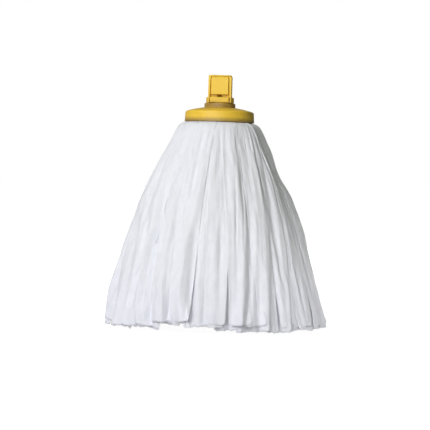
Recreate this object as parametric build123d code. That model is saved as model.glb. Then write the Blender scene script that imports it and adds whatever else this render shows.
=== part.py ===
from build123d import *
import os

# A mop head of flat cloth strips under a moulded cap that takes the handle.
# Millimetres. Z = 0 is where the strips end, +Z points up the handle, and the latch tongue faces -Y.

# Heights of the moulded head
CAP_BOTTOM_Z = 263.0
RIM_TOP_Z = 276.2
CROWN_Z = 281.6
LOWER_COLLAR_TOP_Z = 287.0
UPPER_COLLAR_TOP_Z = 294.8
TOP_Z = 323.2

# Cap shell
CAP_R = 45.0
RIM_DRAFT = 0.8
CAP_WALL = 2.4
RIM_CORNER_R = 2.6
CROWN_BEND = 0.4
CAP_RIBS = 12
CAP_RIB_THICK = 1.8
CAP_RIB_INNER_R = 29.0
CAP_RIB_CLEARANCE = 0.2

# Handle socket
LOWER_COLLAR_R = 20.0
LOWER_COLLAR_EDGE_R = 0.8
UPPER_COLLAR_R = 18.0
UPPER_COLLAR_EDGE_R = 1.0
COLLAR_CLEARANCE = 0.1
PLUG_WIDTH = 30.0
PLUG_CORNER_R = 6.0
PLUG_TOP_EDGE_R = 2.0
BORE_R = 12.2
BORE_FLOOR_Z = 270.0
BORE_MOUTH = 1.0
SOCKET_FLOOR = 3.0
SOCKET_TUBE_R = 15.5
FLANGE_R = 26.0
FLANGE_THICK = 2.6
FLANGE_CLEARANCE = 0.4
BOSS_R = 8.4
BOSS_BOTTOM_Z = 253.4
WEBS = 4
WEB_THICK = 2.0
WEB_R = 24.0
PILOT_R = 2.5
PILOT_TOP_Z = 266.0

# Latch tongue in the front wall of the socket, with the lug under its free edge and a rail each side
TONGUE_WIDTH = 22.4
TONGUE_TOP_Z = 321.0
TONGUE_BOTTOM_Z = 298.0
TONGUE_FRONT_Y = -17.2
TONGUE_BACK_Y = -13.6
TONGUE_EDGE_R = 0.8
TONGUE_SLIT = 0.5
POCKET_FLOOR_Y = -11.8
LUG_WIDTH = 24.8
LUG_FRONT_Y = -19.0
LUG_EDGE_R = 1.4
LUG_BOTTOM_Z = 287.6
RAIL_FRONT_Y = -16.6
RAIL_ROOT_Y = -10.0
RAIL_OUTER_X = 14.8
RAIL_TOP_INNER_X = 11.8
RAIL_FOOT_INNER_X = 13.4
RAIL_FOOT_Z = 288.0

# Plate, washer and screw that clamp the strips against the cap
PLATE_R = 34.0
PLATE_THICK = 3.0
PLATE_EDGE_R = 1.2
PLATE_HOLE_R = 2.8
PLATE_RIBS = 6
PLATE_RIB_HEIGHT = 2.4
PLATE_RIB_THICK = 2.0
PLATE_RIB_INNER_R = 8.0
PLATE_RIB_OUTER_R = 31.0
WASHER_R = 6.5
WASHER_THICK = 1.0
SCREW_R = 2.45
SCREW_TIP_Z = 265.0
SCREW_TIP_CHAMFER = 0.8
SCREW_HEAD_R = 4.8
SCREW_HEAD_HEIGHT = 3.0
SCREW_HEAD_EDGE_R = 1.6
CROSS_WIDTH = 1.2
CROSS_LENGTH = 5.0
CROSS_DEPTH = 1.6

# Folded middle of all the strips, pressed between cap and plate
PACK_TOP_Z = 262.6
PACK_BOTTOM_Z = 253.2
PACK_FLAT_R = 43.0
PACK_BEND = (51.4, 259.6)
PACK_R = 55.0
PACK_LIP = 0.4
PACK_HOLE_R = 9.0

# Hanging strips: the outer face of the skirt, as (radius, height), from the bend down to the ends
SKIRT_OUTLINE = [(56.0, 252.6), (62.5, 238.5), (78.5, 207.0), (104.0, 148.0), (124.0, 82.0), (140.2, 18.0)]
HEM_FLARE = 0.14
SECTOR_GAP_DEG = 1.0

# How far a cut runs past the face that it opens
PAST = 1.0


class StripLayer:
    """One ring of hanging strips, made as equal sectors."""

    def __init__(self, name, sectors, top_radius, spread, thickness, bottom, turn):
        self.name = name
        self.sectors = sectors
        self.top_radius = top_radius
        self.spread = spread
        self.thickness = thickness
        self.bottom = bottom
        self.turn = turn


LAYERS = [
    StripLayer("outer_strips", 12, top_radius=56.0, spread=1.0, thickness=3.2, bottom=1.5, turn=0.0),
    StripLayer("middle_strips", 12, top_radius=51.4, spread=1.0, thickness=3.2, bottom=0.0, turn=15.0),
    StripLayer("inner_strips", 8, top_radius=46.4, spread=0.76, thickness=4.0, bottom=0.0, turn=0.0),
    StripLayer("core_strips", 8, top_radius=41.0, spread=0.42, thickness=5.0, bottom=0.0, turn=22.5),
]


def disc(radius, bottom_z, top_z):
    """A solid round disc standing on bottom_z."""
    return Pos(0, 0, (bottom_z + top_z) / 2) * Cylinder(radius, top_z - bottom_z)


def ring(outer_r, inner_r, bottom_z, top_z):
    """A round disc with a round hole, standing on bottom_z."""
    return disc(outer_r, bottom_z, top_z) - disc(inner_r, bottom_z, top_z)


def block(x_from, x_to, y_from, y_to, z_from, z_to):
    """A box between two corners."""
    box = Box(x_to - x_from, y_to - y_from, z_to - z_from)
    return Pos((x_from + x_to) / 2, (y_from + y_to) / 2, (z_from + z_to) / 2) * box


def spoke(inner_r, outer_r, thickness, bottom_z, top_z):
    """An upright rib along +X."""
    return block(inner_r, outer_r, -thickness / 2, thickness / 2, bottom_z, top_z)


def upright_face(*edges):
    """A face in the XZ plane, from edges drawn as (radius or x, height)."""
    return Plane.XZ * make_face(edges)


def dome_height(radius, drop=0.0):
    """Height of the cap's crown over a radius: a shallow parabola from the collar out to the rim."""
    share = (radius - LOWER_COLLAR_R) / (CAP_R - LOWER_COLLAR_R)
    return CROWN_Z - (CROWN_Z - RIM_TOP_Z) * share * (1 - CROWN_BEND + CROWN_BEND * share) - drop


def cap_shell():
    """Domed cap with a deep rim, a centre hole for the socket, and ribs that press on the strips."""
    hole_r = LOWER_COLLAR_R + COLLAR_CLEARANCE
    middle_r = (hole_r + CAP_R) / 2
    rim_top_r = CAP_R - RIM_DRAFT
    inner_r = CAP_R - CAP_WALL
    outer_dome = ThreePointArc(
        (hole_r, dome_height(hole_r)), (middle_r, dome_height(middle_r)), (rim_top_r, RIM_TOP_Z)
    )
    rim_side = Line((rim_top_r, RIM_TOP_Z), (CAP_R, CAP_BOTTOM_Z))
    rim_foot = Line((CAP_R, CAP_BOTTOM_Z), (inner_r, CAP_BOTTOM_Z))
    inner_side = Line((inner_r, CAP_BOTTOM_Z), (inner_r - RIM_DRAFT, RIM_TOP_Z - CAP_WALL))
    inner_dome = ThreePointArc(
        (inner_r - RIM_DRAFT, RIM_TOP_Z - CAP_WALL),
        (middle_r, dome_height(middle_r, CAP_WALL)),
        (hole_r, dome_height(hole_r, CAP_WALL)),
    )
    hole_side = Line((hole_r, dome_height(hole_r, CAP_WALL)), (hole_r, dome_height(hole_r)))
    profile = make_face([outer_dome, rim_side, rim_foot, inner_side, inner_dome, hole_side])
    rim_corner = profile.vertices().sort_by_distance((rim_top_r, RIM_TOP_Z))[0]
    shell = revolve(Plane.XZ * fillet(rim_corner, RIM_CORNER_R), Axis.Z)
    return shell + cap_ribs(inner_r - RIM_DRAFT / 2)


def cap_ribs(outer_r):
    """Radial ribs under the crown, down to just above the strips."""
    foot_z = PACK_TOP_Z + CAP_RIB_CLEARANCE
    rib = spoke(CAP_RIB_INNER_R, outer_r, CAP_RIB_THICK, foot_z, RIM_TOP_Z - CAP_WALL)
    ribs = Part()
    for i in range(CAP_RIBS):
        ribs += Rot(0, 0, 360 / CAP_RIBS * (i + 0.5)) * rib
    return ribs


def socket_body():
    """Square plug above two round collars, with a flange, a tube and a screw boss inside the cap."""
    plug = extrude(RectangleRounded(PLUG_WIDTH, PLUG_WIDTH, PLUG_CORNER_R), TOP_Z - LOWER_COLLAR_TOP_Z)
    plug = fillet(plug.faces().sort_by(Axis.Z)[-1].outer_wire().edges(), PLUG_TOP_EDGE_R)
    plug = Pos(0, 0, LOWER_COLLAR_TOP_Z) * plug
    upper_collar = disc(UPPER_COLLAR_R, LOWER_COLLAR_TOP_Z, UPPER_COLLAR_TOP_Z)
    upper_collar = fillet(upper_collar.edges().group_by(Axis.Z)[-1], UPPER_COLLAR_EDGE_R)
    flange_top_z = dome_height(FLANGE_R, CAP_WALL) - FLANGE_CLEARANCE
    lower_collar = disc(LOWER_COLLAR_R, flange_top_z, LOWER_COLLAR_TOP_Z)
    lower_collar = fillet(lower_collar.edges().group_by(Axis.Z)[-1], LOWER_COLLAR_EDGE_R)
    flange = disc(FLANGE_R, flange_top_z - FLANGE_THICK, flange_top_z)
    tube_bottom_z = BORE_FLOOR_Z - SOCKET_FLOOR
    tube = disc(SOCKET_TUBE_R, tube_bottom_z, flange_top_z)
    boss = disc(BOSS_R, BOSS_BOTTOM_Z, BORE_FLOOR_Z)
    body = plug + upper_collar + lower_collar + flange + tube + boss
    web = spoke(0, WEB_R, WEB_THICK, tube_bottom_z, flange_top_z)
    for i in range(WEBS):
        body += Rot(0, 0, 360 / WEBS * (i + 0.5)) * web
    return body


def socket_lug():
    """Rounded stop below the tongue's free edge."""
    half = LUG_WIDTH / 2
    lug = block(-half, half, LUG_FRONT_Y, RAIL_ROOT_Y, LUG_BOTTOM_Z, UPPER_COLLAR_TOP_Z)
    return fillet(lug.faces().sort_by(Axis.Y)[0].edges(), LUG_EDGE_R)


def socket_rail(side):
    """Upright rib beside the tongue that narrows to its foot; side is +1 or -1 along X."""
    outline = Polyline(
        (side * RAIL_TOP_INNER_X, TONGUE_TOP_Z),
        (side * RAIL_OUTER_X, TONGUE_TOP_Z),
        (side * RAIL_OUTER_X, RAIL_FOOT_Z),
        (side * RAIL_FOOT_INNER_X, RAIL_FOOT_Z),
        close=True,
    )
    rail = extrude(upright_face(outline), amount=RAIL_ROOT_Y - RAIL_FRONT_Y, dir=(0, -1, 0))
    return Pos(0, RAIL_ROOT_Y, 0) * rail


def handle_socket():
    """The moulding that takes the handle: bore from above, pocket in front for the tongue."""
    body = socket_body() + socket_lug() + socket_rail(1) + socket_rail(-1)
    bore = disc(BORE_R, BORE_FLOOR_Z, TOP_Z + PAST)
    mouth = Pos(0, 0, TOP_Z - BORE_MOUTH / 2) * Cone(BORE_R, BORE_R + BORE_MOUTH, BORE_MOUTH)
    pilot = disc(PILOT_R, BOSS_BOTTOM_Z - PAST, PILOT_TOP_Z)
    half = TONGUE_WIDTH / 2 + TONGUE_SLIT
    pocket_top_z = TONGUE_TOP_Z + TONGUE_SLIT
    pocket = block(-half, half, LUG_FRONT_Y - PAST, POCKET_FLOOR_Y, UPPER_COLLAR_TOP_Z, pocket_top_z)
    return body - bore - mouth - pilot - pocket


def latch_tongue():
    """Spring tongue that hangs from its rounded top edge."""
    half = TONGUE_WIDTH / 2
    middle_y = (TONGUE_FRONT_Y + TONGUE_BACK_Y) / 2
    top_r = (TONGUE_BACK_Y - TONGUE_FRONT_Y) / 2
    round_z = TONGUE_TOP_Z - top_r
    plate = block(-half, half, TONGUE_FRONT_Y, TONGUE_BACK_Y, TONGUE_BOTTOM_Z, round_z)
    plate = fillet(plate.edges().filter_by(Axis.Z).group_by(Axis.Y)[0], TONGUE_EDGE_R)
    plate = fillet(plate.edges().group_by(Axis.Z)[0].group_by(Axis.Y)[0], TONGUE_EDGE_R)
    knuckle = Rot(0, 90, 0) * Cylinder(top_r, TONGUE_WIDTH - 2 * TONGUE_EDGE_R)
    return plate + Pos(0, middle_y, round_z) * knuckle


def clamp_plate():
    """Ribbed disc below the strips, with a hole for the screw."""
    bottom_z = PACK_BOTTOM_Z - PLATE_THICK
    plate = ring(PLATE_R, PLATE_HOLE_R, bottom_z, PACK_BOTTOM_Z)
    rims = plate.edges().filter_by(GeomType.CIRCLE).filter_by(lambda e: e.radius > PLATE_HOLE_R)
    plate = fillet(rims, PLATE_EDGE_R)
    rib = spoke(PLATE_RIB_INNER_R, PLATE_RIB_OUTER_R, PLATE_RIB_THICK, bottom_z - PLATE_RIB_HEIGHT, bottom_z)
    for i in range(PLATE_RIBS):
        plate += Rot(0, 0, 360 / PLATE_RIBS * i) * rib
    return plate


def clamp_washer():
    """Flat washer under the screw's head."""
    top_z = PACK_BOTTOM_Z - PLATE_THICK
    return ring(WASHER_R, PLATE_HOLE_R, top_z - WASHER_THICK, top_z)


def clamp_screw():
    """Pan-head screw with a cross recess, driven up into the socket's boss."""
    head_top_z = PACK_BOTTOM_Z - PLATE_THICK - WASHER_THICK
    head_bottom_z = head_top_z - SCREW_HEAD_HEIGHT
    head = disc(SCREW_HEAD_R, head_bottom_z, head_top_z)
    head = fillet(head.edges().group_by(Axis.Z)[0], SCREW_HEAD_EDGE_R)
    shank = disc(SCREW_R, head_top_z, SCREW_TIP_Z)
    shank = chamfer(shank.edges().group_by(Axis.Z)[-1], SCREW_TIP_CHAMFER)
    half = CROSS_LENGTH / 2
    slot = spoke(-half, half, CROSS_WIDTH, head_bottom_z - PAST, head_bottom_z + CROSS_DEPTH)
    return head + shank - slot - Rot(0, 0, 90) * slot


def strip_pack():
    """The strips' folded middles: a flat round pack whose edge bends down past the cap's rim."""
    edge = ThreePointArc((PACK_FLAT_R, PACK_TOP_Z), PACK_BEND, (PACK_R, PACK_BOTTOM_Z + PACK_LIP))
    rest = Polyline(
        (PACK_R, PACK_BOTTOM_Z + PACK_LIP),
        (PACK_R, PACK_BOTTOM_Z),
        (PACK_HOLE_R, PACK_BOTTOM_Z),
        (PACK_HOLE_R, PACK_TOP_Z),
        (PACK_FLAT_R, PACK_TOP_Z),
    )
    return revolve(upright_face(edge, rest), Axis.Z)


def layer_curve(layer, inset):
    """The skirt's outline carried in to a layer's own radii, as a curve in (radius, height)."""
    top_radius = SKIRT_OUTLINE[0][0]
    points = []
    for radius, height in SKIRT_OUTLINE:
        own_radius = layer.top_radius + layer.spread * (radius - top_radius) - inset
        points.append((own_radius, height))
    hem_radius = points[-1][0] + HEM_FLARE * (points[-1][1] - layer.bottom)
    points.append((hem_radius, layer.bottom))
    return Spline(*points)


def strip_sector(layer, index):
    """One sector of a layer: an even thickness of cloth following the skirt's outline."""
    outer = layer_curve(layer, 0.0)
    inner = layer_curve(layer, layer.thickness)
    section = upright_face(outer, Line(outer @ 1, inner @ 1), inner, Line(inner @ 0, outer @ 0))
    pitch = 360 / layer.sectors
    sector = revolve(section, Axis.Z, pitch - SECTOR_GAP_DEG)
    return Rot(0, 0, layer.turn + pitch * index + SECTOR_GAP_DEG / 2) * sector


def all_parts():
    """Every node's name and solid."""
    parts = {
        "cap_shell": cap_shell(),
        "handle_socket": handle_socket(),
        "latch_tongue": latch_tongue(),
        "clamp_plate": clamp_plate(),
        "clamp_washer": clamp_washer(),
        "clamp_screw": clamp_screw(),
        "strip_pack": strip_pack(),
    }
    for layer in LAYERS:
        for i in range(layer.sectors):
            parts[f"{layer.name}_{i + 1:02d}"] = strip_sector(layer, i)
    return parts


os.makedirs("parts", exist_ok=True)
for name, solid in all_parts().items():
    export_step(solid, f"parts/{name}.step")
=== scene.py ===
import math

import bpy
import numpy as np
from mathutils import Matrix, Vector
from mathutils.bvhtree import BVHTree


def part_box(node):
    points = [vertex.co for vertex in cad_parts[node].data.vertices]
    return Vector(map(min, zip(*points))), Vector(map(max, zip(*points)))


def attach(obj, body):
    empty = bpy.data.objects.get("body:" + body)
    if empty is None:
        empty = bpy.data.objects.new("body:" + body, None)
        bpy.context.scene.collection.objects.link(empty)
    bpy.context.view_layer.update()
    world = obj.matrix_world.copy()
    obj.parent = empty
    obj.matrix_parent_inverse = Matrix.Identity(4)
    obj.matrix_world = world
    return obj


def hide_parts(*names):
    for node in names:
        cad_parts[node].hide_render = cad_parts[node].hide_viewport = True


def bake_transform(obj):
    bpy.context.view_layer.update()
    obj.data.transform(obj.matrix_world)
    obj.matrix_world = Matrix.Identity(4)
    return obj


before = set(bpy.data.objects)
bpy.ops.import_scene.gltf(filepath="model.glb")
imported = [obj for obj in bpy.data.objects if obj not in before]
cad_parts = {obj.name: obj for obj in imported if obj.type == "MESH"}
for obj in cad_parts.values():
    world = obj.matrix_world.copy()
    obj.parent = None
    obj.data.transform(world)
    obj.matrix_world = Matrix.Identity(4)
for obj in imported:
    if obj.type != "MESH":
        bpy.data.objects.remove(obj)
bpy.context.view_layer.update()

# The camera and the view, in metres and degrees
CAMERA_DISTANCE = 2.0
CAMERA_HEIGHT = 0.2
CAMERA_AZIMUTH = 3.0
CAMERA_ROLL = 1.8
LOOKS_AT = (-0.0019, 0.0, 0.1428)
VIEW_WIDTH = 0.557
SENSOR = 36.0

# The plastic head: heights and the painted shade at the right end in metres, and the colours of the painted
# shade
RIM_BOTTOM_Z = 0.263
SOCKET_TOP_Z = 0.3232
SHADED_END_X = (0.026, 0.046)
SHADED_END_SHARE = 0.55
BROWN_PAINTED_SHADE = (0.19, 0.11, 0.055)
GREY_PAINTED_SHADE = (0.11, 0.10, 0.09)
# How much painted shade the plastic carries under the collars and along the rim's lower edge, over the
# height from the rim's bottom to the socket's top
PAINTED_SHADE_STOPS = [
    (0.0, 1.0), (0.035, 0.8), (0.10, 0.12), (0.26, 0.05),
    (0.33, 0.95), (0.40, 0.85), (0.425, 0.2), (0.6, 0.0),
]

# The cloth strips, in metres
STRIP_WIDTH = 0.031
CLOTH_THICK = 0.00045
LEVELS = 4
LEVEL_STEP = 0.0005
SUNK_UNDER = 0.0003
RAG_POINTS = 22
RAG_DEPTH = 0.0011
CORNER_DEPTH = 0.002
CRUMPLE_DEPTH = 0.0005
CURL_LENGTH = 0.025
LEAST_RADIUS = 0.03

# Near the clamp the strips are narrower and flatter, by these shares, and sunk by a depth in metres.
# Each effect passes from a length along the cloth and over a further length, in metres.
ROOT_GATHER = 0.74
ROOT_LIFT = 0.35
ROOT_FOLDS = 0.12
ROOT_SINK = 0.0004
GATHER_OPENS = (0.01, 0.16)
LEVELS_PART = (0.02, 0.12)
FOLDS_OPEN = (0.013, 0.03)
SINK_ENDS = (0.014, 0.02)

# The folds that all the cloth shares: depth in metres at the clamp, and how much more at the hem
FOLD_SEED = 7
VALLEY_SEED = 5
SWELL_DEPTH = (0.0006, 0.0036)
PLEAT_DEPTH = (0.0005, 0.0029)
RIPPLE_DEPTH = (0.0002, 0.0004)
CREASE_DEPTH = (0.0005, 0.0042)
CREASE_SHARPNESS = 5
VALLEY_DEPTH = (0.0004, 0.0028)
FOLD_BEND = 0.12
FOLD_LEAN = 0.35
MORE_LIVELY = 0.8

# Places round the skirt and reaches, in radians from +X; the front is at -90 degrees
FRONT_RIGHT = math.radians(-40.0)
FRONT_LEFT = math.radians(-140.0)
FRONT_SIDES_REACH = 0.9
RIGHT_SIDE = 0.08
RIGHT_SIDE_REACH = 0.5
LEFT_SIDE = math.pi
LEFT_SIDE_REACH = 0.55
SET_BACK_FROM = math.radians(-34.0)
SET_BACK_EDGE = 0.06
SET_BACK_END = 0.62
SET_BACK_FADE = 0.35
RIDGE_REACH = 0.75

# Where the skirt's outline departs from an even bell: depths in metres, and shares of the way down
# from which and over which they grow, or the waist's middle and reach
SET_BACK_DEPTH = 0.0045
RIDGE_DEPTH = 0.0030
LEFT_DEPTH, LEFT_SHARES = 0.0050, (0.4, 0.35)
WAIST_DEPTH, WAIST_SHARE, WAIST_REACH = 0.0055, 0.31, 0.13
RIGHT_DEPTH, RIGHT_SHARES = 0.0034, (0.44, 0.12)
# Where the strips end higher: azimuth in degrees, reach in radians and height in metres
HEM_RISES = [(-70, 1.2, 0.0030), (-103, 0.75, 0.0060)]

# The folds that stand out. Each runs from an azimuth at the clamp through a turn, in degrees, and
# is seen between two shares of the way down. Its ridge lies on one side of its valley.
MAIN_FOLDS = [
    dict(top=-54, turn=-17, power=1.0, shares=(0.05, 1.3), depth=0.0030, width=0.0040, side=-1),
    dict(top=-22, turn=-35, power=0.55, shares=(0.02, 1.3), depth=0.0034, width=0.0045, side=-1),
    dict(top=-82, turn=-1, power=1.0, shares=(0.50, 1.4), depth=0.0050, width=0.0050, side=-1),
    dict(top=-101, turn=0, power=1.0, shares=(0.50, 0.98), depth=0.0050, width=0.0050, side=-1),
    dict(top=-45, turn=-1, power=1.0, shares=(0.42, 0.88), depth=0.0040, width=0.0035, side=-1),
    dict(top=-39, turn=-2, power=1.0, shares=(0.62, 1.3), depth=0.0040, width=0.0045, side=-1),
    dict(top=-152, turn=-11, power=0.8, shares=(0.22, 1.2), depth=0.0055, width=0.0050, side=1),
    dict(top=-151, turn=31, power=0.6, shares=(0.04, 1.2), depth=0.0052, width=0.0050, side=-1),
    dict(top=-122, turn=0, power=1.0, shares=(0.84, 1.02), depth=0.0080, width=0.0030, side=-1),
    dict(top=-139, turn=3, power=1.0, shares=(0.45, 1.3), depth=0.0050, width=0.0045, side=1),
    dict(top=-112, turn=2, power=1.0, shares=(0.58, 1.3), depth=0.0042, width=0.0040, side=-1),
]

# The layers of strips, outermost first. Root is the radius and height of the clamped edge, hem the
# range of heights of the ends, and base how far out the cloth lies, in metres; drift is in degrees.
LAYERS = [
    dict(name="outer_strips", sectors=12, per_sector=3, turn=0.0, root=(0.0440, 0.2630), over_pack=True,
         hem=(0.003, 0.0095), drift=1.9, gather=0.88, seed=11, grid=(24, 130), base=-0.0006, moves=True),
    dict(name="middle_strips", sectors=12, per_sector=3, turn=15.0, root=(0.044, 0.2580), over_pack=False,
         hem=(0.0005, 0.0045), drift=1.0, gather=0.96, seed=12, grid=(20, 100), base=0.0010, moves=False),
    dict(name="inner_strips", sectors=8, per_sector=3, turn=0.0, root=(0.042, 0.2560), over_pack=False,
         hem=(0.009, 0.017), drift=2.0, gather=0.9, seed=13, grid=(12, 70), base=-0.0045, moves=False),
    dict(name="core_strips", sectors=8, per_sector=2, turn=22.5, root=(0.038, 0.2545), over_pack=False,
         hem=(0.009, 0.019), drift=3.0, gather=0.9, seed=14, grid=(12, 60), base=-0.0045, moves=False),
]

# The ring of clamped cloth, in metres
PACK_RADIUS = 0.0265
PACK_HALF_WIDTH = 0.0175
PACK_GAP_BELOW = 0.0004
PACK_GAP_ABOVE = 0.0022
PACK_ROUND_GAP = 0.0008
PACK_TEXTURE_RADIUS = 0.04
PACK_GRID = (96, 720)

# Lamps, with sizes in metres and power in watts, and the colours of the surroundings as light
SKIRT_MIDDLE = (0, 0, 0.15)
LIGHTS = [
    dict(name="key", place=(-1.28, -2.05, 1.35), target=SKIRT_MIDDLE, size=1.0, power=38.0,
         colour=(0.99, 0.995, 1.0)),
    dict(name="top", place=(-0.3, -0.6, 2.2), target=SKIRT_MIDDLE, size=1.6, power=5.0),
    dict(name="low fill", place=(0.66, -0.46, 0.01), target=(0.125, -0.02, 0.0), size=0.2, power=0.10,
         colour=(0.97, 0.97, 1.0), spread_deg=26.0),
    dict(name="back", place=(0.35, 2.3, 0.8), target=SKIRT_MIDDLE, size=1.0, power=24.0, glint=False),
    dict(name="front", place=(-0.15, -2.2, 0.45), target=(0, 0, 0.12), size=1.0, power=10.0,
         colour=(0.98, 0.99, 1.0)),
]
LIGHT_FROM_LEFT = (0.30, 0.303, 0.325)
LIGHT_FROM_RIGHT = (0.078, 0.082, 0.040)
FLOOR_Z = -0.0005
FLOOR_GLOW = 0.96


# ---------------------------------------------------------------- materials

def new_material(name):
    """A material with an empty Principled surface; returns it with its tree and the shader."""
    material = bpy.data.materials.new(name)
    material.use_nodes = True
    tree = material.node_tree
    return material, tree, tree.nodes["Principled BSDF"]


def add_node(tree, kind, **values):
    """A node with its sockets and settings filled in by name."""
    node = tree.nodes.new(kind)
    for key, value in values.items():
        if key in node.inputs:
            node.inputs[key].default_value = value
        else:
            setattr(node, key, value)
    return node


def set_inputs(node, values):
    """Sets a node's inputs by name."""
    for name, value in values.items():
        node.inputs[name].default_value = value


def ramp(tree, factor, stops):
    """A colour ramp from (position, colour) pairs, fed by a factor socket."""
    node = tree.nodes.new("ShaderNodeValToRGB")
    elements = node.color_ramp.elements
    while len(elements) < len(stops):
        elements.new(0.5)
    for element, (position, colour) in zip(elements, stops):
        element.position = position
        element.color = (*colour, 1.0)
    tree.links.new(factor, node.inputs["Fac"])
    return node.outputs["Color"]


def value_range(tree, factor, low, high):
    """Maps a 0 to 1 factor onto low to high."""
    node = add_node(tree, "ShaderNodeMapRange")
    set_inputs(node, {"To Min": low, "To Max": high})
    tree.links.new(factor, node.inputs["Value"])
    return node.outputs["Result"]


def along_axis(tree, place, axis, low, high, interpolation="LINEAR"):
    """A factor that goes from 0 to 1 as one coordinate goes from low to high."""
    split = add_node(tree, "ShaderNodeSeparateXYZ")
    tree.links.new(place, split.inputs[0])
    node = add_node(tree, "ShaderNodeMapRange", interpolation_type=interpolation)
    set_inputs(node, {"From Min": low, "From Max": high})
    tree.links.new(split.outputs[axis], node.inputs["Value"])
    return node.outputs["Result"]


def calculated(tree, operation, first, second):
    """One sum on two sockets."""
    node = add_node(tree, "ShaderNodeMath", operation=operation)
    tree.links.new(first, node.inputs[0])
    tree.links.new(second, node.inputs[1])
    return node.outputs[0]


def colour_mix(tree, first, second, blend_type="MIX"):
    """A node that mixes two colour sockets."""
    node = add_node(tree, "ShaderNodeMix", data_type="RGBA", blend_type=blend_type)
    tree.links.new(first, node.inputs["A"])
    tree.links.new(second, node.inputs["B"])
    return node


def noise(tree, vector, scale, detail=4.0, roughness=0.55):
    """A noise pattern; returns its 0 to 1 factor."""
    node = add_node(tree, "ShaderNodeTexNoise", Scale=scale, Detail=detail, Roughness=roughness)
    tree.links.new(vector, node.inputs["Vector"])
    return node.outputs["Fac"]


def scaled(tree, vector, factors):
    """A coordinate stretched by three factors."""
    node = add_node(tree, "ShaderNodeMapping")
    node.inputs["Scale"].default_value = factors
    tree.links.new(vector, node.inputs["Vector"])
    return node.outputs["Vector"]


def bumped(tree, shader, heights):
    """Stacks bumps from (height socket, strength, distance) on a shader's normal."""
    normal = None
    for height, strength, distance in heights:
        node = add_node(tree, "ShaderNodeBump", Strength=strength, Distance=distance)
        tree.links.new(height, node.inputs["Height"])
        if normal is not None:
            tree.links.new(normal, node.inputs["Normal"])
        normal = node.outputs["Normal"]
    tree.links.new(normal, shader.inputs["Normal"])


def cloth_material():
    """White non-woven cloth: fibres, strands and streaks along the strip, and cloudy patches."""
    material, tree, shader = new_material("strip_cloth")
    along = add_node(tree, "ShaderNodeUVMap", uv_map="strip").outputs["UV"]
    fibres = noise(tree, scaled(tree, along, (2600.0, 420.0, 1.0)), 1.0, 6.0, 0.65)
    strands = noise(tree, scaled(tree, along, (900.0, 60.0, 1.0)), 1.0, 3.0)
    streaks = noise(tree, scaled(tree, along, (240.0, 14.0, 1.0)), 1.0, 3.0)
    clouds = noise(tree, scaled(tree, along, (110.0, 70.0, 1.0)), 1.0, 4.0)
    mixed = add_node(tree, "ShaderNodeMix", data_type="FLOAT")
    mixed.inputs["Factor"].default_value = 0.45
    tree.links.new(clouds, mixed.inputs[2])
    tree.links.new(strands, mixed.inputs[3])
    colour = ramp(tree, mixed.outputs[0], [(0.3, (0.77, 0.785, 0.825)), (0.7, (0.86, 0.87, 0.90))])
    tree.links.new(tinted(tree, colour), shader.inputs["Base Color"])
    tree.links.new(value_range(tree, strands, 0.82, 0.96), shader.inputs["Roughness"])
    bumped(tree, shader, [
        (streaks, 0.55, 0.0011),
        (clouds, 0.4, 0.0007),
        (strands, 0.45, 0.0003),
        (fibres, 0.6, 0.00015),
    ])
    set_inputs(shader, {
        "Sheen Weight": 0.25,
        "Sheen Roughness": 0.5,
        "Specular IOR Level": 0.25,
        "Subsurface Weight": 0.35,
        "Subsurface Radius": (1.0, 1.0, 1.0),
        "Subsurface Scale": 0.0015,
    })
    return material


def tinted(tree, colour):
    """A faint lavender tint towards the strips' ends."""
    place = add_node(tree, "ShaderNodeTexCoord").outputs["Object"]
    height = along_axis(tree, place, "Z", 0.0, RIM_BOTTOM_Z)
    tint = ramp(tree, height, [(0.05, (0.975, 0.965, 1.0)), (0.5, (1.0, 1.0, 1.0))])
    mix = colour_mix(tree, colour, tint, "MULTIPLY")
    mix.inputs["Factor"].default_value = 1.0
    return mix.outputs["Result"]


def with_painted_shade(tree, place, colour):
    """Painted shade: brown round the collars and along the rim's lower edge, and grey at the right end,
    away from the light.
    """
    height = along_axis(tree, place, "Z", RIM_BOTTOM_Z, SOCKET_TOP_Z)
    amount = ramp(tree, height, [(at, (value,) * 3) for at, value in PAINTED_SHADE_STOPS])
    # Painted grey shade at the right end, where the light falls off
    end = along_axis(tree, place, "X", *SHADED_END_X, "SMOOTHSTEP")
    most = calculated(tree, "MAXIMUM", amount, value_range(tree, end, 0.0, SHADED_END_SHARE))
    patchy = value_range(tree, noise(tree, place, 160.0, 5.0), 0.5, 1.1)
    share = calculated(tree, "MULTIPLY", most, patchy)
    mix = colour_mix(tree, colour, ramp(tree, end, [(0.0, BROWN_PAINTED_SHADE), (1.0, GREY_PAINTED_SHADE)]))
    tree.links.new(share, mix.inputs["Factor"])
    return mix.outputs["Result"]


def plastic_material(name, light, dark, roughness):
    """Moulded yellow plastic: slight mottling, fine moulding texture, small scuffs and painted shade."""
    material, tree, shader = new_material(name)
    place = add_node(tree, "ShaderNodeTexCoord").outputs["Object"]
    mottle = noise(tree, place, 45.0, 3.0)
    grain = noise(tree, place, 1400.0, 4.0)
    scuffs = noise(tree, scaled(tree, place, (900.0, 900.0, 90.0)), 1.0, 5.0, 0.7)
    colour = ramp(tree, mottle, [(0.3, dark), (0.7, light)])
    # Painted shade round the collars, along the rim's lower edge and at the right end
    colour = with_painted_shade(tree, place, colour)
    tree.links.new(colour, shader.inputs["Base Color"])
    worn = value_range(tree, scuffs, roughness - 0.08, roughness + 0.14)
    tree.links.new(worn, shader.inputs["Roughness"])
    bumped(tree, shader, [(mottle, 0.12, 0.0008), (grain, 0.16, 0.0001), (scuffs, 0.10, 0.0001)])
    shader.inputs["Specular IOR Level"].default_value = 0.45
    return material


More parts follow.
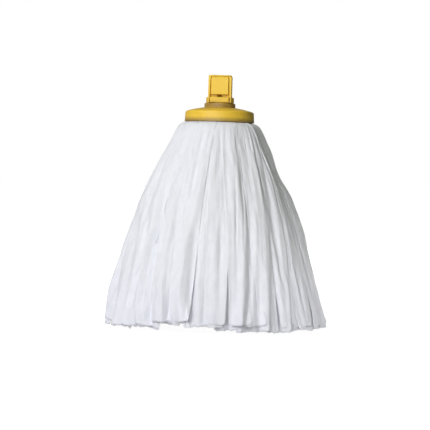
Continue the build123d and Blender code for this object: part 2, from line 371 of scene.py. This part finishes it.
def steel_material():
    """Zinc-plated steel with turning marks."""
    material, tree, shader = new_material("screw_steel")
    place = add_node(tree, "ShaderNodeTexCoord").outputs["Object"]
    marks = noise(tree, scaled(tree, place, (300.0, 300.0, 3000.0)), 1.0, 5.0)
    patches = noise(tree, place, 260.0, 3.0)
    colour = ramp(tree, patches, [(0.3, (0.50, 0.50, 0.51)), (0.7, (0.62, 0.62, 0.64))])
    tree.links.new(colour, shader.inputs["Base Color"])
    tree.links.new(value_range(tree, marks, 0.26, 0.46), shader.inputs["Roughness"])
    bumped(tree, shader, [(marks, 0.2, 0.0001)])
    shader.inputs["Metallic"].default_value = 1.0
    return material


def paint(node, material):
    """Gives a CAD node one material."""
    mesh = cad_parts[node].data
    mesh.materials.clear()
    mesh.materials.append(material)


# ---------------------------------------------------------------- strips

def node_faces(node):
    """A CAD node's faces, ready for rays."""
    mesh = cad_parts[node].data
    return BVHTree.FromPolygons([v.co for v in mesh.vertices], [tuple(p.vertices) for p in mesh.polygons])


def outer_radius(faces, azimuth, height):
    """How far out a solid reaches at one azimuth and height."""
    out = Vector((math.cos(azimuth), math.sin(azimuth), 0.0))
    hit = faces.ray_cast(Vector((0.0, 0.0, height)) + out, -out)[0]
    return hit.to_2d().length


def smooth(values, reach):
    """Running average that keeps both ends where they are."""
    before = 2 * values[0] - values[reach:0:-1]
    after = 2 * values[-1] - values[-2:-reach - 2:-1]
    kernel = np.hanning(2 * reach + 3)[1:-1]
    return np.convolve(np.concatenate([before, values, after]), kernel / kernel.sum(), "valid")


def step(x):
    """Smooth step from 0 to 1."""
    x = np.clip(x, 0, 1)
    return x * x * (3 - 2 * x)


def rise(x, start, length):
    """Smooth step from 0 at a start to 1 at a length beyond it."""
    return step((x - start) / length)


def growing(share, depth):
    """A depth that grows evenly from the clamp to the hem, given as its start and its growth."""
    start, growth = depth
    return start + growth * share


def turned_from(azimuth, line):
    """The turn from a line to an azimuth, at most half a turn either way."""
    return (azimuth - line + math.pi) % (2 * math.pi) - math.pi


def near(azimuth, middle, reach):
    """1 at a middle azimuth, falling smoothly to 0 at a reach from it."""
    return step(1 - np.abs(turned_from(azimuth, middle)) / reach)


class Path:
    """The line that a layer's strips follow: radius and height over length along the cloth."""

    SAMPLES = 700
    SMOOTHING = 18
    ROOT_LENGTH = 0.014
    BELOW = 0.03

    def __init__(self, node, azimuth, root, over_pack):
        low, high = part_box(node)[0][2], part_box(node)[1][2]
        points = [(root[0] - self.ROOT_LENGTH, root[1]), root]
        if over_pack:
            pack = node_faces("strip_pack")
            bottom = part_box("strip_pack")[0][2]
            heights = np.linspace(root[1] - 0.0024, bottom + 0.0005, 8)
            points += [(outer_radius(pack, azimuth, h), h) for h in heights]
        faces = node_faces(node)
        heights = np.linspace(high - 0.004, low + 0.0005, 24)
        points += [(outer_radius(faces, azimuth, h), h) for h in heights]
        r, z = np.array(points).T
        slope = (r[-1] - r[-3]) / (z[-1] - z[-3])
        r, z = np.append(r, r[-1] - slope * self.BELOW), np.append(z, z[-1] - self.BELOW)
        s = np.concatenate([[0], np.cumsum(np.hypot(np.diff(r), np.diff(z)))])
        fine = np.linspace(0, s[-1], self.SAMPLES)
        self.r = smooth(np.interp(fine, s, r), self.SMOOTHING)
        self.z = smooth(np.interp(fine, s, z), self.SMOOTHING)
        self.s = np.concatenate([[0], np.cumsum(np.hypot(np.diff(self.r), np.diff(self.z)))])
        dr, dz = np.gradient(self.r), np.gradient(self.z)
        self.nr, self.nz = -dz / np.hypot(dr, dz), dr / np.hypot(dr, dz)

    def at(self, s):
        """Radius, height and outward normal at lengths s."""
        return [np.interp(s, self.s, a) for a in (self.r, self.z, self.nr, self.nz)]

    def length_to(self, height):
        """Length along the cloth down to a height."""
        return float(np.interp(-height, -self.z, self.s))


class Noise:
    """Smooth random values from -1 to 1 over azimuth, all the way round, and share of the way down."""

    def __init__(self, rng, around, along):
        self.around, self.along = around, along
        self.values = rng.uniform(-1, 1, (along + 3, around))

    def at(self, azimuth, share):
        """The value at an azimuth and share of the way down."""
        x = (azimuth / (2 * math.pi) * self.around) % self.around
        y = np.clip(share, 0, 1) * self.along + 0.5
        column, row = np.floor(x).astype(int), np.floor(y).astype(int)
        fx, fy = fade(x - column), fade(y - row)
        left, right = column % self.around, (column + 1) % self.around
        upper = self.values[row, left] * (1 - fx) + self.values[row, right] * fx
        lower = self.values[row + 1, left] * (1 - fx) + self.values[row + 1, right] * fx
        return upper * (1 - fy) + lower * fy


def fade(x):
    """Quintic step, smooth in slope and bend."""
    return x**3 * (10 - 15 * x + 6 * x * x)


class Folds:
    """The long folds that all the cloth shares."""

    def __init__(self, seed):
        rng = np.random.default_rng(seed)
        self.bends = Noise(rng, 10, 2)
        self.swells = Noise(rng, 20, 2)
        self.pleats = Noise(rng, 74, 2)
        self.ripples = Noise(rng, 150, 4)
        self.creases = Noise(rng, 54, 2)
        self.crease_depth = Noise(rng, 30, 3)

    def at(self, azimuth, share):
        """How far out the folds lift the cloth, in metres."""
        bent = azimuth + FOLD_BEND * self.bends.at(azimuth, share) * share + lean(azimuth) * share
        lively = 1 + MORE_LIVELY * near(azimuth, FRONT_LEFT, FRONT_SIDES_REACH)
        swells = self.swells.at(bent, share) * growing(share, SWELL_DEPTH)
        pleats = self.pleats.at(bent, share) * growing(share, PLEAT_DEPTH) * lively
        ripples = self.ripples.at(bent, share) * growing(share, RIPPLE_DEPTH)
        some = np.clip(self.crease_depth.at(azimuth, share) + 0.25, 0, 1)
        depth = some * growing(share, CREASE_DEPTH)
        creases = -depth * (1 - np.abs(self.creases.at(bent, share))) ** CREASE_SHARPNESS
        return swells + pleats + ripples + creases + set_back(azimuth, share) + sides(azimuth, share)


def lean(azimuth):
    """How far the folds on both sides turn towards the front on their way down, in radians."""
    right = near(azimuth, FRONT_RIGHT, FRONT_SIDES_REACH)
    left = near(azimuth, FRONT_LEFT, FRONT_SIDES_REACH)
    return FOLD_LEAN * right - FOLD_LEAN * left


def set_back(azimuth, share):
    """The cloth on the right lies deeper than a ridge in front of it; both fade out towards the hem."""
    beyond = turned_from(azimuth, SET_BACK_FROM)
    behind = rise(beyond, 0.0, SET_BACK_EDGE)
    back = -SET_BACK_DEPTH * behind * step((SET_BACK_END - beyond) / SET_BACK_FADE)
    ridge = RIDGE_DEPTH * np.clip(1 + beyond / RIDGE_REACH, 0, 1) ** 2 * (1 - behind)
    return (back + ridge * rise(share, 0.0, 0.1)) * step((1.0 - share) / 0.6)


def sides(azimuth, share):
    """Draws in the left side's lower part and the right side's waist, and fills out the right below."""
    left = -LEFT_DEPTH * rise(share, *LEFT_SHARES) * near(azimuth, LEFT_SIDE, LEFT_SIDE_REACH)
    waist = -WAIST_DEPTH * step(1 - np.abs(share - WAIST_SHARE) / WAIST_REACH)
    below = RIGHT_DEPTH * rise(share, *RIGHT_SHARES)
    return left + (waist + below) * near(azimuth, RIGHT_SIDE, RIGHT_SIDE_REACH)


class MainFolds:
    """The few deep folds that stand out, each a ridge beside a valley along its own line."""

    FADE = 0.15
    RIDGE_HEIGHT = 0.6
    RIDGE_OFFSET = 1.7

    def __init__(self, path):
        self.path = path

    def profile(self, offset, side):
        """A fold across its line: a valley of depth 1 with a lower ridge on one side."""
        ridge = self.RIDGE_HEIGHT * np.exp(-0.5 * (offset - self.RIDGE_OFFSET * side) ** 2)
        return ridge - np.exp(-0.5 * offset**2)

    def at(self, azimuth, share):
        """How far out the folds lift the cloth, in metres."""
        r = self.path.at(self.path.s[-1] * share)[0]
        total = np.zeros_like(azimuth)
        for fold in MAIN_FOLDS:
            line = np.radians(fold["top"] + fold["turn"] * share ** fold["power"])
            offset = turned_from(azimuth, line) * r / fold["width"]
            low, high = fold["shares"]
            there = rise(share, low, self.FADE) * step((high - share) / self.FADE)
            profile = self.profile(offset, fold["side"])
            total = total + fold["depth"] * (0.3 + 0.7 * share) * there * profile
        return total


class Valleys:
    """Soft valleys along the edges of the strips that lie on top, followed by all the cloth."""

    def __init__(self, seed, path, strips):
        rng = np.random.default_rng(seed)
        self.path = path
        self.lines = []
        for strip in strips:
            for side, over in zip((-1, 1), strip.over):
                if over > 0:
                    self.lines.append((strip, side, rng.uniform(0.2, 1.0), rng.uniform(0.0026, 0.0046)))

    def at(self, azimuth, share):
        """How far out the valleys lift the cloth, in metres: never above 0."""
        s = self.path.s[-1] * share
        r = self.path.at(s)[0]
        total = np.zeros_like(azimuth)
        for strip, side, depth, width in self.lines:
            line = strip.azimuth_at(side * 0.5, share, s, r)
            offset = turned_from(azimuth, line) * r / width
            total = np.minimum(total, -depth * np.exp(-0.5 * offset**2) * growing(share, VALLEY_DEPTH))
        return total


def hem_rise(azimuth):
    """How much higher the strips end in front, most of all left of the middle."""
    return sum(height * near(azimuth, math.radians(at), reach) for at, reach, height in HEM_RISES)


class Strip:
    """One strip's own choices; over is how many levels it lies above each of its two neighbours."""

    def __init__(self, rng, azimuth, level, over, layer):
        self.azimuth = azimuth
        self.level = level
        self.over = over
        self.width = STRIP_WIDTH * rng.uniform(0.94, 1.04)
        self.hem_z = rng.uniform(*layer["hem"]) + hem_rise(azimuth)
        self.drift = math.radians(rng.uniform(-1, 1) * layer["drift"])
        self.bow = math.radians(rng.uniform(-1, 1) * layer["drift"] * 0.5)
        self.gather = rng.uniform(layer["gather"], 0.98)
        self.wave = rng.uniform(0.0002, 0.0014)
        self.wave_turns = rng.uniform(0.7, 1.6)
        self.wave_phase = rng.uniform(0, 2 * math.pi)
        self.lift = rng.uniform(-0.0002, 0.0010, 2)
        self.curl = rng.uniform(0.0, 0.0040)
        self.slant = rng.uniform(-0.004, 0.004)
        self.rag = rng.uniform(-1, 1, RAG_POINTS)
        self.crumple = Noise(rng, 40, 14)
        self.crumple_turn = rng.uniform(0, 2 * math.pi)

    def azimuth_at(self, u, share, s, r):
        """Azimuth of a point across the strip, from -0.5 to 0.5, where it has a radius r."""
        gather = ROOT_GATHER + (self.gather - ROOT_GATHER) * rise(s, *GATHER_OPENS)
        middle = self.azimuth + self.drift * share**1.5 + self.bow * np.sin(math.pi * share)
        return middle + u * self.width * gather / np.maximum(r, LEAST_RADIUS)


def edge_rests(over):
    """How far an edge sinks to rest on the neighbour beneath it, or under the one above."""
    return -(over - 1) * LEVEL_STEP if over > 0 else -SUNK_UNDER


def own_lift(strip, u, share, s, end):
    """One strip's own waves, resting edges, crumples and curled end, in metres."""
    low = rise(share, 0.5, 0.5)
    turns = strip.wave_turns * u + 0.3 * share
    waves = strip.wave * low * np.sin(2 * math.pi * turns + strip.wave_phase)
    side = (u > 0).astype(int)
    rests = np.array([edge_rests(over) for over in strip.over])[side]
    resting = rests * np.abs(2 * u) ** 2 * rise(share, 0.05, 0.25)
    lifted = strip.lift[side] * low * np.abs(2 * u) ** 3
    crumples = strip.crumple.at(strip.crumple_turn + u, share) * CRUMPLE_DEPTH * rise(share, 0.0, 0.2)
    curl = strip.curl * step((s - end + CURL_LENGTH) / CURL_LENGTH) ** 2
    return waves + resting + lifted + crumples + curl


def strip_mesh(name, path, strip, shared, grid, base):
    """One strip as a grid that follows its path, the shared folds and its own waves and edges."""
    u = np.linspace(-0.5, 0.5, grid[0] + 1)[None, :]
    v = np.linspace(0, 1, grid[1] + 1)[:, None]
    ragged = np.interp(u, np.linspace(-0.5, 0.5, RAG_POINTS), strip.rag) * RAG_DEPTH
    corner = -CORNER_DEPTH * np.abs(2 * u) ** 8
    end = path.length_to(strip.hem_z) + ragged + strip.slant * u + corner
    s = v * end
    r, z, nr, nz = path.at(s)
    share = np.broadcast_to(v, s.shape)
    azimuth = strip.azimuth_at(u, share, s, r)
    level = strip.level * LEVEL_STEP * (ROOT_LIFT + (1 - ROOT_LIFT) * rise(s, *LEVELS_PART))
    sunk = base - ROOT_SINK * (1 - rise(s, *SINK_ENDS))
    pressed = ROOT_FOLDS + (1 - ROOT_FOLDS) * rise(s, *FOLDS_OPEN)
    folds = pressed * sum(part.at(azimuth, share) for part in shared)
    h = sunk + level + folds + own_lift(strip, u, share, s, end)
    points = [(r + h * nr) * np.cos(azimuth), (r + h * nr) * np.sin(azimuth), z + h * nz]
    return grid_object(name, np.stack(points, axis=-1), u * strip.width, s)


def grid_object(name, points, u, s, closed=False):
    """A mesh object from a grid of points, with a UV map in metres."""
    rows, columns = points.shape[:2]
    index = np.arange(rows * columns).reshape(rows, columns)
    if closed:
        index = np.pad(index, ((0, 1), (0, 1)), mode="wrap")
    corners = [index[:-1, :-1], index[1:, :-1], index[1:, 1:], index[:-1, 1:]]
    quads = np.stack(corners, axis=-1).reshape(-1, 4)
    mesh = bpy.data.meshes.new(name)
    mesh.from_pydata(points.reshape(-1, 3).tolist(), [], quads.tolist())
    uv = np.stack(np.broadcast_arrays(u, s), axis=-1).reshape(-1, 2)
    layer = mesh.uv_layers.new(name="strip")
    layer.data.foreach_set("uv", uv[quads.reshape(-1)].astype(np.float32).ravel())
    mesh.polygons.foreach_set("use_smooth", [True] * len(quads))
    obj = bpy.data.objects.new(name, mesh)
    bpy.context.scene.collection.objects.link(obj)
    return obj


def finish_strip(obj, strip, path, node, material, body):
    """Thickness and material of one strip, and the head's body for a strip that doesn't move."""
    obj.data.materials.append(material)
    thick = obj.modifiers.new("thickness", "SOLIDIFY")
    thick.thickness = CLOTH_THICK
    thick.offset = 0.0
    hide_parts(node)
    path.length_to(strip.hem_z)
    if body == "head":
        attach(obj, body)
        return
    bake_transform(obj)


def shuffled_levels(rng, count):
    """A level for each strip round the skirt, unlike the two on either side."""
    while True:
        levels = [0, 1]
        for _ in range(count - 2):
            levels.append(int(rng.choice([n for n in range(LEVELS) if n not in levels[-2:]])))
        if all(len({levels[i], levels[i - 1], levels[i - 2]}) == 3 for i in range(count)):
            return levels


def layer_path(layer):
    """The line that one layer's strips follow."""
    middle = math.radians(layer["turn"]) + math.pi / layer["sectors"]
    return Path(f"{layer['name']}_01", middle, layer["root"], layer["over_pack"])


def layer_strips(layer):
    """One layer's strips, in order round the skirt."""
    rng = np.random.default_rng(layer["seed"])
    count = layer["sectors"] * layer["per_sector"]
    levels = shuffled_levels(rng, count)
    strips = []
    for i, level in enumerate(levels):
        over = [level - levels[i - 1], level - levels[(i + 1) % count]]
        azimuth = math.radians(layer["turn"]) + 2 * math.pi * (i + 0.5 + rng.uniform(-0.11, 0.11)) / count
        strips.append(Strip(rng, azimuth, level, over, layer))
    return strips


def add_layer(layer, strips, path, shared, material):
    """All strips of one layer; those that don't move go on the head's body."""
    for i, strip in enumerate(strips):
        sector, part = divmod(i, layer["per_sector"])
        node = f"{layer['name']}_{sector + 1:02d}"
        obj = strip_mesh(f"{node}{'abc'[part]}", path, strip, shared, layer["grid"], layer["base"])
        body = f"outer_{sector + 1:02d}" if layer["moves"] else "head"
        finish_strip(obj, strip, path, node, material, body)


def add_skirt(material):
    """All layers of strips, and the folds and valleys that they share."""
    layers = [(layer, layer_strips(layer), layer_path(layer)) for layer in LAYERS]
    _, outer, outer_path = layers[0]
    shared = [Folds(FOLD_SEED), MainFolds(outer_path), Valleys(VALLEY_SEED, outer_path, outer)]
    for layer, strips, path in layers:
        add_layer(layer, strips, path, shared, material)


def strip_pack(material):
    """The clamped middles of the strips, pressed into one pleated ring."""
    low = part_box("strip_pack")[0][2] + PACK_GAP_BELOW
    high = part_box("strip_pack")[1][2] - PACK_GAP_ABOVE
    turn = np.linspace(0, 2 * math.pi, PACK_GRID[0], endpoint=False)[:, None]
    around = np.linspace(0, 2 * math.pi, PACK_GRID[1], endpoint=False)[None, :]
    across = np.sign(np.cos(turn)) * np.abs(np.cos(turn)) ** 0.35
    up = np.sign(np.sin(turn)) * np.abs(np.sin(turn)) ** 0.6
    pleats = 0.0005 * np.sin(72 * around + 2 * np.sin(5 * around)) + 0.0003 * np.sin(125 * around)
    z = (low + high) / 2 + up * ((high - low) / 2 - PACK_ROUND_GAP + pleats)
    r = PACK_RADIUS + PACK_HALF_WIDTH * across + pleats * across
    points = np.stack(np.broadcast_arrays(r * np.cos(around), r * np.sin(around), z), axis=-1)
    obj = grid_object("strip_pack_cloth", points, around * PACK_TEXTURE_RADIUS, r, closed=True)
    obj.data.materials.append(material)
    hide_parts("strip_pack")
    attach(obj, "head")


# ---------------------------------------------------------------- camera, light and floor

def look_at(obj, target, roll_deg=0.0):
    """Turns a camera or lamp to a point and rolls it about its own view line."""
    direction = Vector(target) - obj.location
    turn = direction.to_track_quat("-Z", "Y").to_matrix().to_4x4()
    roll = Matrix.Rotation(math.radians(roll_deg), 4, "Z")
    obj.rotation_euler = (turn @ roll).to_euler()


def add_camera():
    """The camera in front of the mop head, a little to the right and rolled."""
    data = bpy.data.cameras.new("camera")
    camera = bpy.data.objects.new("camera", data)
    bpy.context.scene.collection.objects.link(camera)
    around = math.radians(CAMERA_AZIMUTH)
    camera.location = (
        CAMERA_DISTANCE * math.sin(around),
        -CAMERA_DISTANCE * math.cos(around),
        CAMERA_HEIGHT,
    )
    look_at(camera, LOOKS_AT, CAMERA_ROLL)
    data.sensor_width = SENSOR
    data.lens = SENSOR * CAMERA_DISTANCE / VIEW_WIDTH
    data.clip_end = 50.0
    bpy.context.scene.camera = camera


def area_light(name, place, target, size, power, colour=(1.0, 1.0, 1.0), spread_deg=180.0, glint=True):
    """A round lamp turned to a target; without glint it isn't mirrored in shiny surfaces."""
    data = bpy.data.lights.new(name, "AREA")
    data.shape = "DISK"
    data.size = size
    data.energy = power
    data.color = colour
    data.spread = math.radians(spread_deg)
    lamp = bpy.data.objects.new(name, data)
    bpy.context.scene.collection.objects.link(lamp)
    lamp.location = place
    lamp.visible_glossy = glint
    look_at(lamp, target)


def add_world():
    """White surroundings as the camera sees them; as light, bright from the left and dim from the right."""
    world = bpy.data.worlds.new("studio")
    world.use_nodes = True
    tree = world.node_tree
    tree.nodes.clear()
    place = add_node(tree, "ShaderNodeTexCoord").outputs["Generated"]
    sideways = along_axis(tree, place, "X", -0.6, 0.8, "SMOOTHSTEP")
    light = add_node(tree, "ShaderNodeBackground", Strength=1.0)
    shade = ramp(tree, sideways, [(0.0, LIGHT_FROM_LEFT), (1.0, LIGHT_FROM_RIGHT)])
    tree.links.new(shade, light.inputs["Color"])
    seen = add_node(tree, "ShaderNodeBackground", Color=(1.0, 1.0, 1.0, 1.0), Strength=1.0)
    mix = add_node(tree, "ShaderNodeMixShader")
    out = add_node(tree, "ShaderNodeOutputWorld")
    rays = add_node(tree, "ShaderNodeLightPath")
    tree.links.new(rays.outputs["Is Camera Ray"], mix.inputs["Fac"])
    tree.links.new(light.outputs[0], mix.inputs[1])
    tree.links.new(seen.outputs[0], mix.inputs[2])
    tree.links.new(mix.outputs[0], out.inputs["Surface"])
    bpy.context.scene.world = world


def add_floor():
    """A pale floor that the camera sees as near white, without the glow lighting the object."""
    bpy.ops.mesh.primitive_plane_add(size=30.0, location=(0, 0, FLOOR_Z))
    floor = bpy.context.object
    floor.name = "floor"
    material, tree, shader = new_material("floor")
    set_inputs(shader, {
        "Base Color": (0.6, 0.6, 0.6, 1.0),
        "Roughness": 0.9,
        "Emission Color": (1.0, 1.0, 1.0, 1.0),
    })
    rays = add_node(tree, "ShaderNodeLightPath")
    glow = value_range(tree, rays.outputs["Is Camera Ray"], 0.0, FLOOR_GLOW)
    tree.links.new(glow, shader.inputs["Emission Strength"])
    floor.data.materials.append(material)


def paint_plastic_and_metal():
    """Materials for the nodes that keep their CAD meshes."""
    yellow = plastic_material("yellow_plastic", (0.92, 0.60, 0.050), (0.86, 0.56, 0.040), 0.42)
    plate = plastic_material("plate_plastic", (0.80, 0.49, 0.045), (0.74, 0.45, 0.04), 0.6)
    steel = steel_material()
    for node in ("cap_shell", "handle_socket", "latch_tongue"):
        paint(node, yellow)
    paint("clamp_plate", plate)
    for node in ("clamp_washer", "clamp_screw"):
        paint(node, steel)


def main():
    """Builds the whole scene round the loaded frame."""
    bpy.context.scene.view_settings.view_transform = "Standard"
    cloth = cloth_material()
    paint_plastic_and_metal()
    add_skirt(cloth)
    strip_pack(cloth)
    for light in LIGHTS:
        area_light(**light)
    add_world()
    add_floor()
    add_camera()


main()
